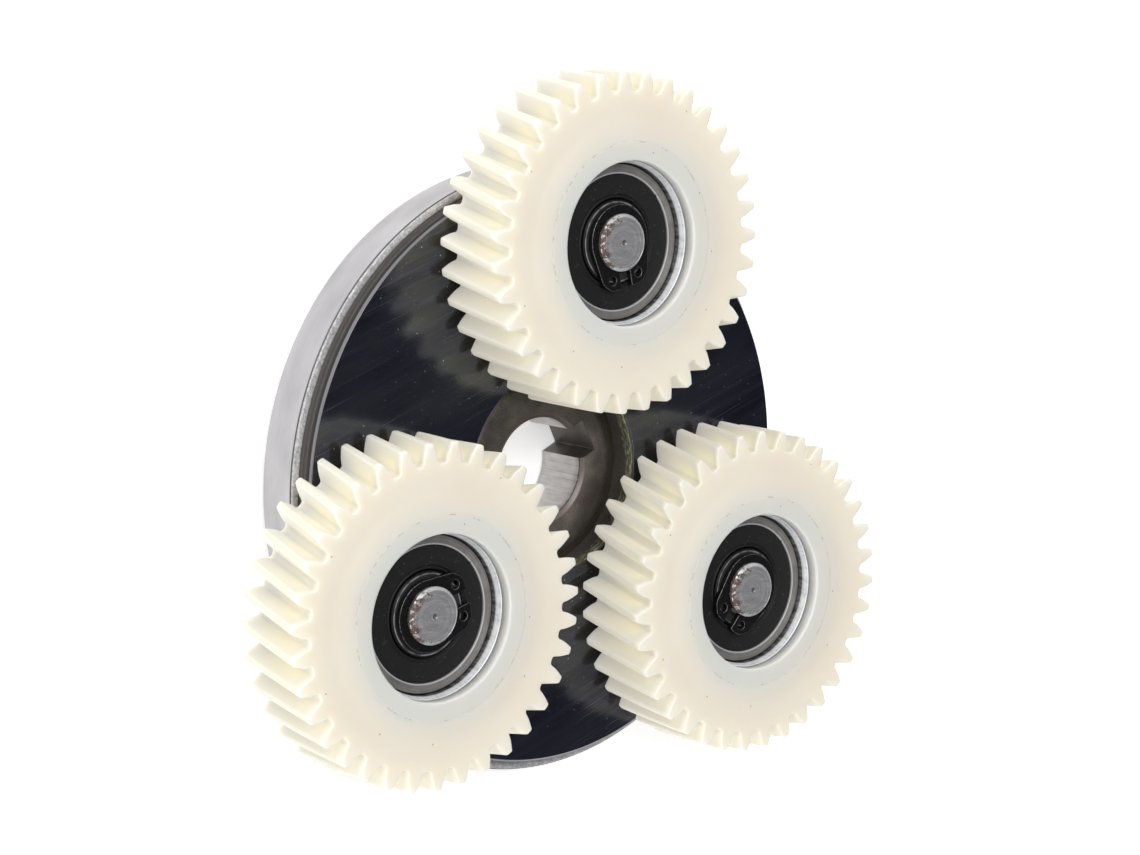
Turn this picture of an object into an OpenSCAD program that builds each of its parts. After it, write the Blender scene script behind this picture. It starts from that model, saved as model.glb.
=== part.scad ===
// Planet carrier with three helical planet gears on ball bearings and a
// one-way roller clutch with a keyed hub, as used inside a geared wheel hub.
// Origin: on the hub bore's axis, at the hub's rear end face, on which the
// assembly rests. +Z runs along the bore towards the planet gears.

/* [Clutch hub] */
// Radius of the hub bore
bore_r = 7.5; // [6.5:0.1:8]
// Width of the keyway
key_w = 5; // [3:0.5:6]
// Distance from the bore axis to the floor of the keyway
key_depth = 9.8; // [9:0.1:10.2]
// Direction of the keyway, in degrees from +X
key_angle = 29.5; // [0:0.5:360]
// Length of the hub
hub_len = 9.4; // [9.2:0.1:9.8]
// Radius of the hub's front journal
hub_front_r = 13.7; // [13:0.1:13.8]
// Radius of the hub's rear journal
hub_rear_r = 15.5; // [15:0.1:16]

/* [Roller clutch] */
// Number of rollers
roller_count = 6; // [3:1:6]
// Radius of a roller
roller_r = 2.5; // [2:0.1:2.6]
// Radius of the race that the rollers wedge against
race_r = 27; // [26:0.1:28]

/* [Housing] */
// Outer radius of the drawn steel cup
cup_r = 43.6; // [43.6:0.1:46]
// Height of the cup's rear face above the hub's rear face
cup_z0 = 3.2; // [3:0.1:3.5]
// Height of the cup's front edge
cup_z1 = 10.1; // [9.8:0.1:10.5]
// Thickness of the cup's rear wall
cup_floor = 1; // [0.8:0.1:1.1]

/* [Carrier plate] */
// Radius of the carrier plate
plate_r = 42.2; // [41.6:0.1:42.4]
// Height of the carrier plate's front face
plate_z = 12.4; // [12:0.1:12.8]
// Radius of the central hole in the carrier plate
plate_hole_r = 14.6; // [14.4:0.1:15]

/* [Planets] */
// Distance from the main axis to each planet's axis
planet_offset = 33.6; // [33:0.1:35]
// Number of teeth on a planet
teeth = 35; // [30:1:36]
// Normal module of the teeth
normal_module = 1.25; // [1:0.05:1.3]
// Helix angle at the pitch circle
helix = 13; // [5:0.5:20]
// Width of a planet gear
gear_w = 12.1; // [11.5:0.1:12.5]
// Gap between the carrier plate and a planet gear
gear_gap = 1.3; // [1:0.1:1.6]
// Slices along the tooth twist
tooth_slices = 3; // [2:1:5]

/* [Planet pins] */
// Radius of a pin where it holds the bearing
pin_r = 4; // [4:0.5:4]
// Radius of the pin's collar
collar_r = 5.6; // [5.2:0.1:5.8]
// How far the pin stands out of the bearing's face
pin_proud = 1.75; // [1.6:0.05:2]

/* [Hidden] */
$fn = 96;

// Cut overlap, running clearance and the ends of the planets' stack
eps = 0.01;
run = 0.05;
gear_z0 = plate_z + gear_gap;
gear_z1 = gear_z0 + gear_w;

// Ball bearing, size 8 x 22 x 7
ball_bore_r = pin_r;
bearing_r = 11;
bearing_w = 7;
bearing_z0 = 15.8;
bearing_z1 = bearing_z0 + bearing_w;
ball_count = 7;
ball_r = 1.95;
ball_track_r = 7.5;
groove_r = 2.02;
outer_land_r = 8.9;
inner_land_r = 5.95;
seal_seat_r = 9.45;
seal_seat_depth = 1.1;
seal_recess = 0.2;
seal_w = 0.8;
ring_chamfer = 0.3;

// Steel insert moulded into each gear
insert_r = 13;
insert_rib_r = 13.8;
insert_z0 = bearing_z0 - 1.2;
insert_z1 = bearing_z1 + 1.6;
insert_shoulder_r = 9.9;
insert_chamfer = 0.65;
rib_z0 = bearing_z0 + 3;
rib_w = 2;
gear_mouth_r = 11.42;
boss_r = 14;
boss_h = 0.4;
boss_slope = 3;

// Teeth
pitch_r = teeth * normal_module / cos(helix) / 2;
pressure = atan(tan(20) / cos(helix));
base_r = pitch_r * cos(pressure);
tip_r = pitch_r + normal_module;
root_r = pitch_r - 1.25 * normal_module;
backlash = 0.15;
twist = gear_w * tan(helix) / pitch_r * 180 / PI;
tip_round = 0.22;

// Each planet's direction, the angle of a tooth on its front face, and the
// direction in which its circlip opens
PLANET_ANGLE = [90, 210, 330];
TOOTH_ANGLE = [4.4, 5.6, 1.1];
CLIP_ANGLE = [-74, 21, -127.5];

// Circlip for an 8 mm pin
clip_t = 0.8;
clip_gap = 0.05;
clip_groove_r = 3.8;
clip_back_w = 1.5;
clip_front_w = 0.9;
clip_shift = 0.28;
clip_gap_half = 0.95;
lug_end_x = 6.5;
lug_corner = [5.1, 4.1];
lug_hole_at = [4.9, 2.35];
lug_hole_r = 0.65;

// Clutch interior
cavity_z0 = cup_z0 + cup_floor;
cavity_z1 = 8.2;
cam_r = race_r - 0.3;
cam_z0 = cavity_z0 + 0.2;
cam_z1 = cavity_z1 - 0.2;
roller_track_r = race_r - roller_r - run;
roller_len = cam_z1 - cam_z0;
pocket_x0 = -3.4;
pocket_x1 = 3.6;
spring_r = 1.1;
spring_y = 23.6;
spring_x1 = 8;
spring_wire_r = 0.2;
spring_coils = 5;
plunger_x1 = 5;
cam_mid_z = (cam_z0 + cam_z1) / 2;
bush_z0 = 6.2;
bush_collar_r = 16.4;
neck_z0 = 1.2;
neck_r = 18.4;
rear_bush_r = 17;

// Involute of the half-tooth: half the tooth's angle at radius r
function inv(a) = tan(a) * 180 / PI - a;
function half_angle(r) =
  90 / teeth - backlash / pitch_r * 45 / PI + inv(pressure) - inv(acos(min(1, base_r / r)));
function polar(r, a) = [r * cos(a), r * sin(a)];
FLANK = [for (i = [0:4]) base_r + 0.02 + (tip_r - tip_round - base_r) * i / 4];
TIP_A = half_angle(tip_r);
function tooth(c) = concat(
  [polar(root_r, c - 180 / teeth)],
  [polar(root_r + 0.08, c - half_angle(base_r) - 0.55)],
  [for (r = FLANK) polar(r, c - half_angle(r))],
  [polar(tip_r, c - TIP_A * 0.6)],
  [polar(tip_r, c + TIP_A * 0.6)],
  [for (i = [4:-1:0]) polar(FLANK[i], c + half_angle(FLANK[i]))],
  [polar(root_r + 0.08, c + half_angle(base_r) + 0.55)]);

module planet_place(i) {
  translate(polar(planet_offset, PLANET_ANGLE[i])) children();
}

module ring(r_in, r_out, z0, z1) {
  translate([0, 0, z0]) rotate_extrude() translate([r_in, 0]) square([r_out - r_in, z1 - z0]);
}

// Drawn cup: rear wall with a neck for the rear bush, outer wall, and a lip
// rolled in towards the carrier plate
module clutch_housing() {
  corner = 0.65;
  lip = 0.5;
  lip_x = plate_r + 0.15 + lip;
  lip_z = cup_z1 - 0.2;
  color([0.80, 0.80, 0.82]) rotate_extrude($fn = 180) {
    translate([rear_bush_r, cup_z0]) square([cup_r - corner - rear_bush_r, cup_floor]);
    translate([plate_r, cup_z0 + corner]) square([cup_r - plate_r, lip_z - cup_z0 - corner]);
    translate([cup_r - corner, cup_z0 + corner]) circle(corner, $fn = 40);
    translate([rear_bush_r, neck_z0]) square([neck_r - rear_bush_r, cup_z0 - neck_z0 + eps]);
    translate([cup_r - lip, lip_z]) circle(lip, $fn = 40);
    translate([lip_x, lip_z]) circle(lip, $fn = 40);
    translate([lip_x, lip_z]) square([cup_r - lip - lip_x, lip]);
  }
}

// Thick plate with the roller race behind it and three holes for the pins
module carrier_plate() {
  edge = 0.5;
  color([0.12, 0.12, 0.14]) difference() {
    rotate_extrude($fn = 180) polygon([
      [plate_hole_r, bush_z0], [bush_collar_r, bush_z0], [bush_collar_r, cavity_z1],
      [race_r, cavity_z1], [race_r, cavity_z0], [plate_r, cavity_z0],
      [plate_r, plate_z - edge], [plate_r - edge, plate_z],
      [plate_hole_r + edge, plate_z], [plate_hole_r, plate_z - edge]]);
    for (i = [0:2]) planet_place(i) cylinder(r = pin_r, h = plate_z + 1);
  }
}

// One roller pocket with its spring hole, at the angle zero position (+Y)
module pocket_cut() {
  floor_y = roller_track_r - roller_r - 0.03;
  translate([pocket_x0, floor_y, 0]) cube([pocket_x1 - pocket_x0, 10, 12]);
  translate([0, spring_y, cam_mid_z]) rotate([0, 90, 0]) cylinder(r = spring_r + 0.05, h = spring_x1);
}

// Hub with a keyed bore, journals front and rear, and the clutch cam
module clutch_hub() {
  shoulder = 1.3;
  drop = 0.75;
  color([0.27, 0.25, 0.23]) difference() {
    rotate_extrude($fn = 120) polygon([
      [bore_r, 0], [hub_rear_r - 0.4, 0], [hub_rear_r, 0.4], [hub_rear_r, cam_z0],
      [cam_r, cam_z0], [cam_r, cam_z1], [bush_collar_r + 0.4, cam_z1],
      [bush_collar_r + 0.4, bush_z0 - 0.3], [hub_front_r, bush_z0 - 0.3],
      [hub_front_r, hub_len - drop], [hub_front_r - 0.35, hub_len - 0.42],
      [hub_front_r - 0.8, hub_len - 0.12], [hub_front_r - shoulder, hub_len],
      [bore_r + 0.6, hub_len], [bore_r, hub_len - 0.45]]);
    rotate([0, 0, key_angle]) translate([0, -key_w / 2, -1]) cube([key_depth, key_w, hub_len + 2]);
    for (i = [0:roller_count - 1]) rotate([0, 0, i * 360 / roller_count]) pocket_cut();
  }
}

module clutch_rollers() {
  color([0.75, 0.75, 0.77])
    for (i = [0:roller_count - 1]) rotate([0, 0, i * 360 / roller_count])
      translate([0, roller_track_r, cam_z0]) cylinder(r = roller_r, h = roller_len, $fn = 48);
}

// Spring behind each plunger, as a closed stack of coils
module roller_springs() {
  pitch = (spring_x1 - plunger_x1 - 2 * spring_wire_r) / spring_coils;
  color([0.6, 0.6, 0.62])
    for (i = [0:roller_count - 1]) rotate([0, 0, i * 360 / roller_count])
      translate([plunger_x1 + spring_wire_r, spring_y, cam_mid_z]) rotate([0, 90, 0])
        rotate_extrude($fn = 32) {
          for (k = [0:spring_coils]) translate([spring_r - spring_wire_r - 0.05, k * pitch])
            circle(spring_wire_r, $fn = 16);
          translate([spring_r - spring_wire_r - 0.08, 0]) square([0.06, pitch * spring_coils]);
        }
}

// Plunger between each roller and its spring
module spring_plungers() {
  gap_x = sqrt(pow(roller_r + 0.04, 2) - pow(roller_track_r - spring_y - 0.95, 2));
  color([0.70, 0.65, 0.50])
    for (i = [0:roller_count - 1]) rotate([0, 0, i * 360 / roller_count])
      translate([gap_x, spring_y, cam_mid_z]) rotate([0, 90, 0])
        cylinder(r = 0.95, h = plunger_x1 - gap_x, $fn = 32);
}

module front_bush() {
  color([0.62, 0.50, 0.28]) ring(hub_front_r + run, plate_hole_r, bush_z0, cavity_z1);
}

module rear_bush() {
  color([0.62, 0.50, 0.28]) ring(hub_rear_r + run, rear_bush_r, neck_z0, cavity_z0 - eps);
}

// Pin pressed into the carrier plate, with a collar that spaces the bearing
module planet_pin() {
  end_z = bearing_z1 + pin_proud;
  groove_z0 = bearing_z1 + clip_gap - 0.04;
  groove_z1 = groove_z0 + clip_t + 0.1;
  chamfer = 0.4;
  color([0.62, 0.60, 0.59]) rotate_extrude() polygon([
    [0, cavity_z0 + 0.3], [pin_r, cavity_z0 + 0.3], [pin_r, plate_z], [collar_r, plate_z],
    [collar_r, bearing_z0], [pin_r, bearing_z0], [pin_r, groove_z0], [clip_groove_r, groove_z0],
    [clip_groove_r, groove_z1], [pin_r, groove_z1], [pin_r, end_z - chamfer],
    [pin_r - chamfer, end_z], [0.45, end_z], [0, end_z - 0.35]]);
}

// Helical gear, moulded round the insert
module planet_gear(i) {
  color([0.93, 0.91, 0.85]) difference() {
    union() {
      translate([0, 0, gear_z0]) rotate([0, 0, TOOTH_ANGLE[i] - twist])
        linear_extrude(height = gear_w, twist = -twist, slices = tooth_slices)
          polygon([for (k = [0:teeth - 1]) each tooth(k * 360 / teeth)]);
      rotate_extrude() polygon([
        [0, gear_z1 - 1], [boss_r + boss_slope, gear_z1 - 1], [boss_r + boss_slope, gear_z1],
        [boss_r, gear_z1 + boss_h], [0, gear_z1 + boss_h]]);
    }
    rotate_extrude() polygon([
      [0, gear_z0 - 1], [gear_mouth_r, gear_z0 - 1], [gear_mouth_r, insert_z0],
      [insert_r, insert_z0], [insert_r, rib_z0], [insert_rib_r, rib_z0],
      [insert_rib_r, rib_z0 + rib_w], [insert_r, rib_z0 + rib_w], [insert_r, insert_z1],
      [gear_mouth_r, insert_z1], [gear_mouth_r, gear_z1 + boss_h + 1],
      [0, gear_z1 + boss_h + 1]]);
  }
}

module gear_insert() {
  color([0.82, 0.82, 0.83]) rotate_extrude() polygon([
    [insert_shoulder_r, insert_z0], [insert_r, insert_z0], [insert_r, rib_z0],
    [insert_rib_r, rib_z0], [insert_rib_r, rib_z0 + rib_w], [insert_r, rib_z0 + rib_w],
    [insert_r, insert_z1], [gear_mouth_r, insert_z1], [bearing_r, insert_z1 - insert_chamfer],
    [bearing_r, bearing_z0], [insert_shoulder_r, bearing_z0]]);
}

module race_groove() {
  translate([ball_track_r, (bearing_z0 + bearing_z1) / 2]) circle(groove_r, $fn = 48);
}

module outer_ring() {
  c = ring_chamfer;
  color([0.60, 0.59, 0.58]) rotate_extrude() difference() {
    polygon([
      [seal_seat_r, bearing_z0], [bearing_r - c, bearing_z0], [bearing_r, bearing_z0 + c],
      [bearing_r, bearing_z1 - c], [bearing_r - c, bearing_z1], [seal_seat_r, bearing_z1],
      [seal_seat_r, bearing_z1 - seal_seat_depth], [outer_land_r, bearing_z1 - seal_seat_depth],
      [outer_land_r, bearing_z0 + seal_seat_depth], [seal_seat_r, bearing_z0 + seal_seat_depth]]);
    race_groove();
  }
}

module inner_ring() {
  c = ring_chamfer;
  color([0.75, 0.75, 0.76]) rotate_extrude() difference() {
    polygon([
      [ball_bore_r, bearing_z0], [inner_land_r - c, bearing_z0], [inner_land_r, bearing_z0 + c],
      [inner_land_r, bearing_z1 - c], [inner_land_r - c, bearing_z1], [ball_bore_r, bearing_z1]]);
    race_groove();
  }
}

module ball_ring(r) {
  for (k = [0:ball_count - 1]) rotate([0, 0, k * 360 / ball_count])
    translate([ball_track_r, 0, (bearing_z0 + bearing_z1) / 2]) sphere(r, $fn = 32);
}

module bearing_balls() {
  color([0.85, 0.85, 0.87]) ball_ring(ball_r);
}

// Crown cage: a ring beside the balls, with fingers between them
module ball_cage() {
  mid = (bearing_z0 + bearing_z1) / 2;
  color([0.72, 0.66, 0.45]) difference() {
    ring(ball_track_r - 0.8, ball_track_r + 0.7, mid - 1.1, mid + 2.4);
    ball_ring(ball_r + 0.06);
  }
}

// Rubber seal, seated in the outer ring and just clear of the inner ring
module seal_profile() {
  crease_r = 7.1;
  color([0.15, 0.15, 0.15]) rotate_extrude() polygon([
    [inner_land_r + 0.08, 0], [seal_seat_r, 0], [seal_seat_r, seal_w],
    [crease_r + 0.15, seal_w], [crease_r, seal_w - 0.12], [crease_r - 0.15, seal_w],
    [inner_land_r + 0.3, seal_w], [inner_land_r + 0.08, seal_w - 0.2]]);
}

module front_seal() {
  translate([0, 0, bearing_z1 - seal_recess - seal_w]) seal_profile();
}

module rear_seal() {
  translate([0, 0, bearing_z0 + seal_recess + seal_w]) mirror([0, 0, 1]) seal_profile();
}

// Open retaining ring, thick opposite its gap, with two lugs that have holes
module circlip(i) {
  outer_r = clip_groove_r + (clip_back_w + clip_front_w) / 2;
  lug = [
    [1, 0.5], [1, outer_r - 0.6], lug_corner, [lug_end_x - 0.15, lug_corner[1] - 1.3],
    [lug_end_x, 0.5]];
  color([0.16, 0.16, 0.17]) translate([0, 0, bearing_z1 + clip_gap]) rotate([0, 0, CLIP_ANGLE[i]])
    linear_extrude(height = clip_t) difference() {
      union() {
        translate([-clip_shift, 0]) circle(outer_r);
        for (s = [-1, 1]) polygon([
          for (k = [0:4]) let (p = lug[s < 0 ? k : 4 - k]) [p[0], s * p[1]]]);
      }
      circle(clip_groove_r);
      translate([0, -clip_gap_half]) square([12, 2 * clip_gap_half]);
      for (s = [-1, 1]) translate([lug_hole_at[0], s * lug_hole_at[1]]) circle(lug_hole_r, $fn = 24);
    }
}

clutch_housing();
carrier_plate();
clutch_hub();
clutch_rollers();
roller_springs();
spring_plungers();
front_bush();
rear_bush();
for (i = [0:2]) planet_place(i) {
  planet_pin();
  planet_gear(i);
  gear_insert();
  outer_ring();
  inner_ring();
  bearing_balls();
  ball_cage();
  front_seal();
  rear_seal();
  circlip(i);
}
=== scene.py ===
import math
import random
from itertools import accumulate

import bmesh
import bpy
from mathutils import Matrix, Vector, noise


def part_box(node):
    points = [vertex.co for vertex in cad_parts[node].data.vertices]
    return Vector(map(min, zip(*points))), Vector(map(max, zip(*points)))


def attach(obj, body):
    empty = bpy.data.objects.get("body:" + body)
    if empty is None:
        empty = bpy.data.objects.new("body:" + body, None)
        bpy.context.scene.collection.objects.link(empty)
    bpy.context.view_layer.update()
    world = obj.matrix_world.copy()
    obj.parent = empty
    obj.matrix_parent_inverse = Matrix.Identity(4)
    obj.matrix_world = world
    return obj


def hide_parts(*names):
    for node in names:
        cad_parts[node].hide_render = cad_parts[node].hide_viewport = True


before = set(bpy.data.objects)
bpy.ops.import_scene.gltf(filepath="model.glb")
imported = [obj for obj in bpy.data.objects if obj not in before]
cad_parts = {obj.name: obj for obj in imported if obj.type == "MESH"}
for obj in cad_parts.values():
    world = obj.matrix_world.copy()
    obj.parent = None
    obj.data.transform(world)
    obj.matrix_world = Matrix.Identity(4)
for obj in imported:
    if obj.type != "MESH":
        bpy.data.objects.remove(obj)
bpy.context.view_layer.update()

MM = 0.001
TAU = 2 * math.pi
SIDES = 288              # facets round a turned piece


# ---------------------------------------------------------------- the frame, in millimetres

def span(name):
    """Centre x, centre y, outer radius, lowest z and highest z of a CAD node, in mm."""
    lo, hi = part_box(name)
    return ((lo.x + hi.x) / 2 / MM, (lo.y + hi.y) / 2 / MM, (hi.x - lo.x) / 2 / MM,
            lo.z / MM, hi.z / MM)


PLANETS = [1, 2, 3]
centre = {i: span(f"outer_ring_{i}")[:2] for i in PLANETS}
_, _, cup_r, neck_z, cup_top = span("clutch_housing")
_, _, plate_r, _, plate_z = span("carrier_plate")
hub_z0, hub_z1 = span("clutch_hub")[3:]
_, _, bearing_r, bearing_z0, bearing_z1 = span("outer_ring_1")
_, _, tip_r, gear_z0, boss_z = span("planet_gear_1")
insert_z0, insert_z1 = span("gear_insert_1")[3:]
pin_z0, pin_z1 = span("planet_pin_1")[3:]
clip_z0, clip_z1 = span("circlip_1")[3:]

# Dimensions that a box can't give, as the CAD model has them
cup_z0, cup_wall_top = 3.2, 10.1
plate_hole_r = 14.6
bore_r, key_half, key_depth, key_angle = 7.5, 2.5, 9.8, math.radians(29.5)
hub_front_r, hub_rear_r = 13.7, 15.5
neck_r, rear_bush_r = 18.4, 17.0
pin_r, collar_r, groove_r = 4.0, 5.6, 3.8
seal_r, land_r, outer_land_r = 9.45, 5.95, 8.9
mouth_r, insert_r = 11.42, 13.0
boss_r, boss_slope = 14.0, 3.0
gear_z1 = boss_z - 0.4
teeth, helix = 35, math.radians(13)
tooth_angle = {1: 4.4, 2: 5.6, 3: 1.1}
clip_angle = {1: -74.0, 2: 21.0, 3: -127.5}
grain_angle = 24         # the plate's grinding marks, in degrees from +x


# ---------------------------------------------------------------- mesh helpers

def rounded(corners, steps=5):
    """Profile points from corners (r, z, fillet): each corner with a fillet becomes a short curve.

    A support point either side of the curve keeps the shading of the flats beside it flat.
    """
    out = []
    n = len(corners)
    for k, (x, z, f) in enumerate(corners):
        p, a, b = Vector((x, z)), Vector(corners[k - 1][:2]), Vector(corners[(k + 1) % n][:2])
        if f <= 0:
            out.append((x, z))
            continue
        ta = min(f, (a - p).length * 0.46)
        tb = min(f, (b - p).length * 0.46)
        to_a, to_b = (a - p).normalized(), (b - p).normalized()
        s, e = p + to_a * ta, p + to_b * tb
        support = s + to_a * ta * 0.06
        out.append((support.x, support.y))
        for j in range(steps + 1):
            t = j / steps
            q = s * (1 - t) ** 2 + p * 2 * t * (1 - t) + e * t * t
            out.append((q.x, q.y))
        support = e + to_b * tb * 0.06
        out.append((support.x, support.y))
    return out


def mesh_object(name, verts, faces, at=(0, 0), smooth=True):
    me = bpy.data.meshes.new(name)
    me.from_pydata(verts, [], faces)
    me.validate()
    bm = bmesh.new()
    bm.from_mesh(me)
    bmesh.ops.recalc_face_normals(bm, faces=bm.faces)
    bm.to_mesh(me)
    bm.free()
    me.shade_smooth() if smooth else me.shade_flat()
    ob = bpy.data.objects.new(name, me)
    ob.location = (at[0] * MM, at[1] * MM, 0)
    bpy.context.scene.collection.objects.link(ob)
    return ob


def grid(name, rows, at=(0, 0), close_rows=True):
    """A sheet of quads from rows of points in mm; each row closes on itself, and the last row on the first."""
    cols = len(rows[0])
    verts = [(x * MM, y * MM, z * MM) for row in rows for x, y, z in row]
    faces = []
    last = len(rows) if close_rows else len(rows) - 1
    for i in range(last):
        a, b = i * cols, (i + 1) % len(rows) * cols
        faces += [(a + j, a + (j + 1) % cols, b + (j + 1) % cols, b + j) for j in range(cols)]
    return mesh_object(name, verts, faces, at)


def lathe(name, profile, at=(0, 0), sides=SIDES, warp=None):
    """A turned ring from a closed profile of (r, z) in mm. warp(r, z, angle) may move a point a little."""
    rows = []
    for r, z in profile:
        row = []
        for j in range(sides):
            t = TAU * j / sides
            rr, zz = warp(r, z, t) if warp else (r, z)
            row.append((rr * math.cos(t), rr * math.sin(t), zz))
        rows.append(row)
    return grid(name, rows, at)


def lathe_solid(name, profile, at=(0, 0), sides=SIDES):
    """A turned solid: the profile starts and ends on the axis."""
    inner = profile[1:-1]
    verts = [(0, 0, profile[0][1] * MM), (0, 0, profile[-1][1] * MM)]
    for r, z in inner:
        verts += [(r * math.cos(TAU * j / sides) * MM, r * math.sin(TAU * j / sides) * MM, z * MM)
                  for j in range(sides)]
    faces = []
    for i in range(len(inner) - 1):
        a, b = 2 + i * sides, 2 + (i + 1) * sides
        faces += [(a + j, a + (j + 1) % sides, b + (j + 1) % sides, b + j) for j in range(sides)]
    end = 2 + (len(inner) - 1) * sides
    faces += [(0, 2 + (j + 1) % sides, 2 + j) for j in range(sides)]
    faces += [(1, end + j, end + (j + 1) % sides) for j in range(sides)]
    return mesh_object(name, verts, faces, at)


# ---------------------------------------------------------------- material helpers

def lin(r, g, b):
    """sRGB 0..255 to a linear RGBA colour."""
    f = lambda c: c / 12.92 if c <= 0.04045 else ((c + 0.055) / 1.055) ** 2.4
    return (f(r / 255), f(g / 255), f(b / 255), 1)


class Mat:
    """A node material: m.n adds a node, m.p sets sockets of the Principled shader."""

    def __init__(self, name):
        self.mat = bpy.data.materials.new(name)
        self.mat.use_nodes = True
        self.nt = self.mat.node_tree
        self.bsdf = self.nt.nodes["Principled BSDF"]

    def n(self, kind, out=0, ins=None, **attrs):
        node = self.nt.nodes.new("ShaderNode" + kind)
        for k, v in attrs.items():
            setattr(node, k, v)
        for k, v in (ins or {}).items():
            self.put(node.inputs[k], v)
        return node.outputs[out]

    def put(self, socket, value):
        if isinstance(value, bpy.types.NodeSocket):
            self.nt.links.new(value, socket)
        else:
            socket.default_value = value

    def p(self, **sockets):
        for k, v in sockets.items():
            self.put(self.bsdf.inputs[k.replace("_", " ")], v)

    def math(self, op, a, b=0.0, clamp=False):
        return self.n("Math", ins={0: a, 1: b}, operation=op, use_clamp=clamp)

    def coords(self):
        return self.n("TexCoord", out=3)

    def vec(self, op, a, b=(0, 0, 0), out=0):
        return self.n("VectorMath", out=out, ins={0: a, 1: b}, operation=op)

    def xyz(self, v):
        s = self.n("SeparateXYZ", ins={0: v}).node
        return s.outputs

    def combine(self, x=0.0, y=0.0, z=0.0):
        return self.n("CombineXYZ", ins={0: x, 1: y, 2: z})

    def radius(self):
        """Distance from the piece's own axis, in mm."""
        flat = self.vec("MULTIPLY", self.coords(), (1 / MM, 1 / MM, 0))
        return self.vec("LENGTH", flat, out=1)

    def height(self):
        return self.math("MULTIPLY", self.xyz(self.coords())[2], 1 / MM)

    def step(self, v, a, b):
        """0 at v = a rising or falling smoothly to 1 at v = b."""
        return self.n("MapRange", ins={0: v, 1: a, 2: b, 3: 0.0, 4: 1.0}, interpolation_type="SMOOTHSTEP")

    def noise(self, vector, scale, detail=3.0, rough=0.5, distortion=0.0):
        return self.n("TexNoise", ins={"Vector": vector, "Scale": scale, "Detail": detail,
                                       "Roughness": rough, "Distortion": distortion})

    def mix(self, f, a, b, blend="MIX"):
        node = self.n("Mix", data_type="RGBA", blend_type=blend).node
        self.put(node.inputs[0], f)
        self.put(node.inputs[6], a)
        self.put(node.inputs[7], b)
        return node.outputs[2]

    def ramp(self, f, stops):
        node = self.n("ValToRGB", ins={0: f}).node
        el = node.color_ramp.elements
        while len(el) < len(stops):
            el.new(0.5)
        for e, (pos, col) in zip(el, stops):
            e.position = pos
            e.color = col if len(col) == 4 else (*col, 1)
        return node.outputs[0]

    def bump(self, h, strength, distance, normal=None):
        ins = {"Height": h, "Strength": strength, "Distance": distance * MM}
        if normal is not None:
            ins["Normal"] = normal
        return self.n("Bump", ins=ins)

    def mm(self):
        """Object coordinates in millimetres."""
        return self.vec("MULTIPLY", self.coords(), (1 / MM,) * 3)

    def turning(self, per_mm, jitter=0.0):
        """Lathe marks: noise that varies with radius and height only."""
        r, z = self.radius(), self.height()
        if jitter:
            r = self.math("ADD", r, self.math("MULTIPLY", self.noise(self.mm(), 0.8, 1.0), jitter))
        return self.noise(self.combine(r, z, 0.0), per_mm, 2.0, 0.6)

    def speckle(self, scale, lo, hi):
        """1 in scattered small spots, 0 elsewhere."""
        return self.step(self.noise(self.mm(), scale, 1.0), lo, hi)

    def dots(self, spacing, size, share):
        """Round specks of a given size in a share of the cells of a scattered pattern."""
        cells = self.n("TexVoronoi", ins={"Vector": self.mm(), "Scale": 1 / spacing}, voronoi_dimensions="2D").node
        near = self.step(cells.outputs["Distance"], size / spacing, 0.4 * size / spacing)
        chosen = self.step(self.xyz(cells.outputs["Color"])[0], 1 - share, 1 - share + 0.01)
        return self.math("MULTIPLY", near, chosen)

    def scratches(self, angle, length, width, lo, hi, seed):
        """Long thin marks along one direction: noise squeezed across it."""
        v = self.vec("ADD", self.mm(), (seed * 13.7, seed * 5.1, 0))
        v = self.n("VectorRotate", ins={"Vector": v, "Angle": -math.radians(angle)},
                   rotation_type="Z_AXIS")
        v = self.vec("MULTIPLY", v, (1 / length, 1 / width, 0))
        return self.step(self.noise(v, 1.0, 1.0, 0.4), lo, hi)


def finish_piece(ob, material, body, slot, *nodes):
    """Gives a piece its material, the body that it rides on and the CAD nodes it stands for; slot is not used."""
    ob.data.materials.append(material)
    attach(ob, body)
    if nodes:
        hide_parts(*nodes)
    return ob


# ---------------------------------------------------------------- materials

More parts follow.
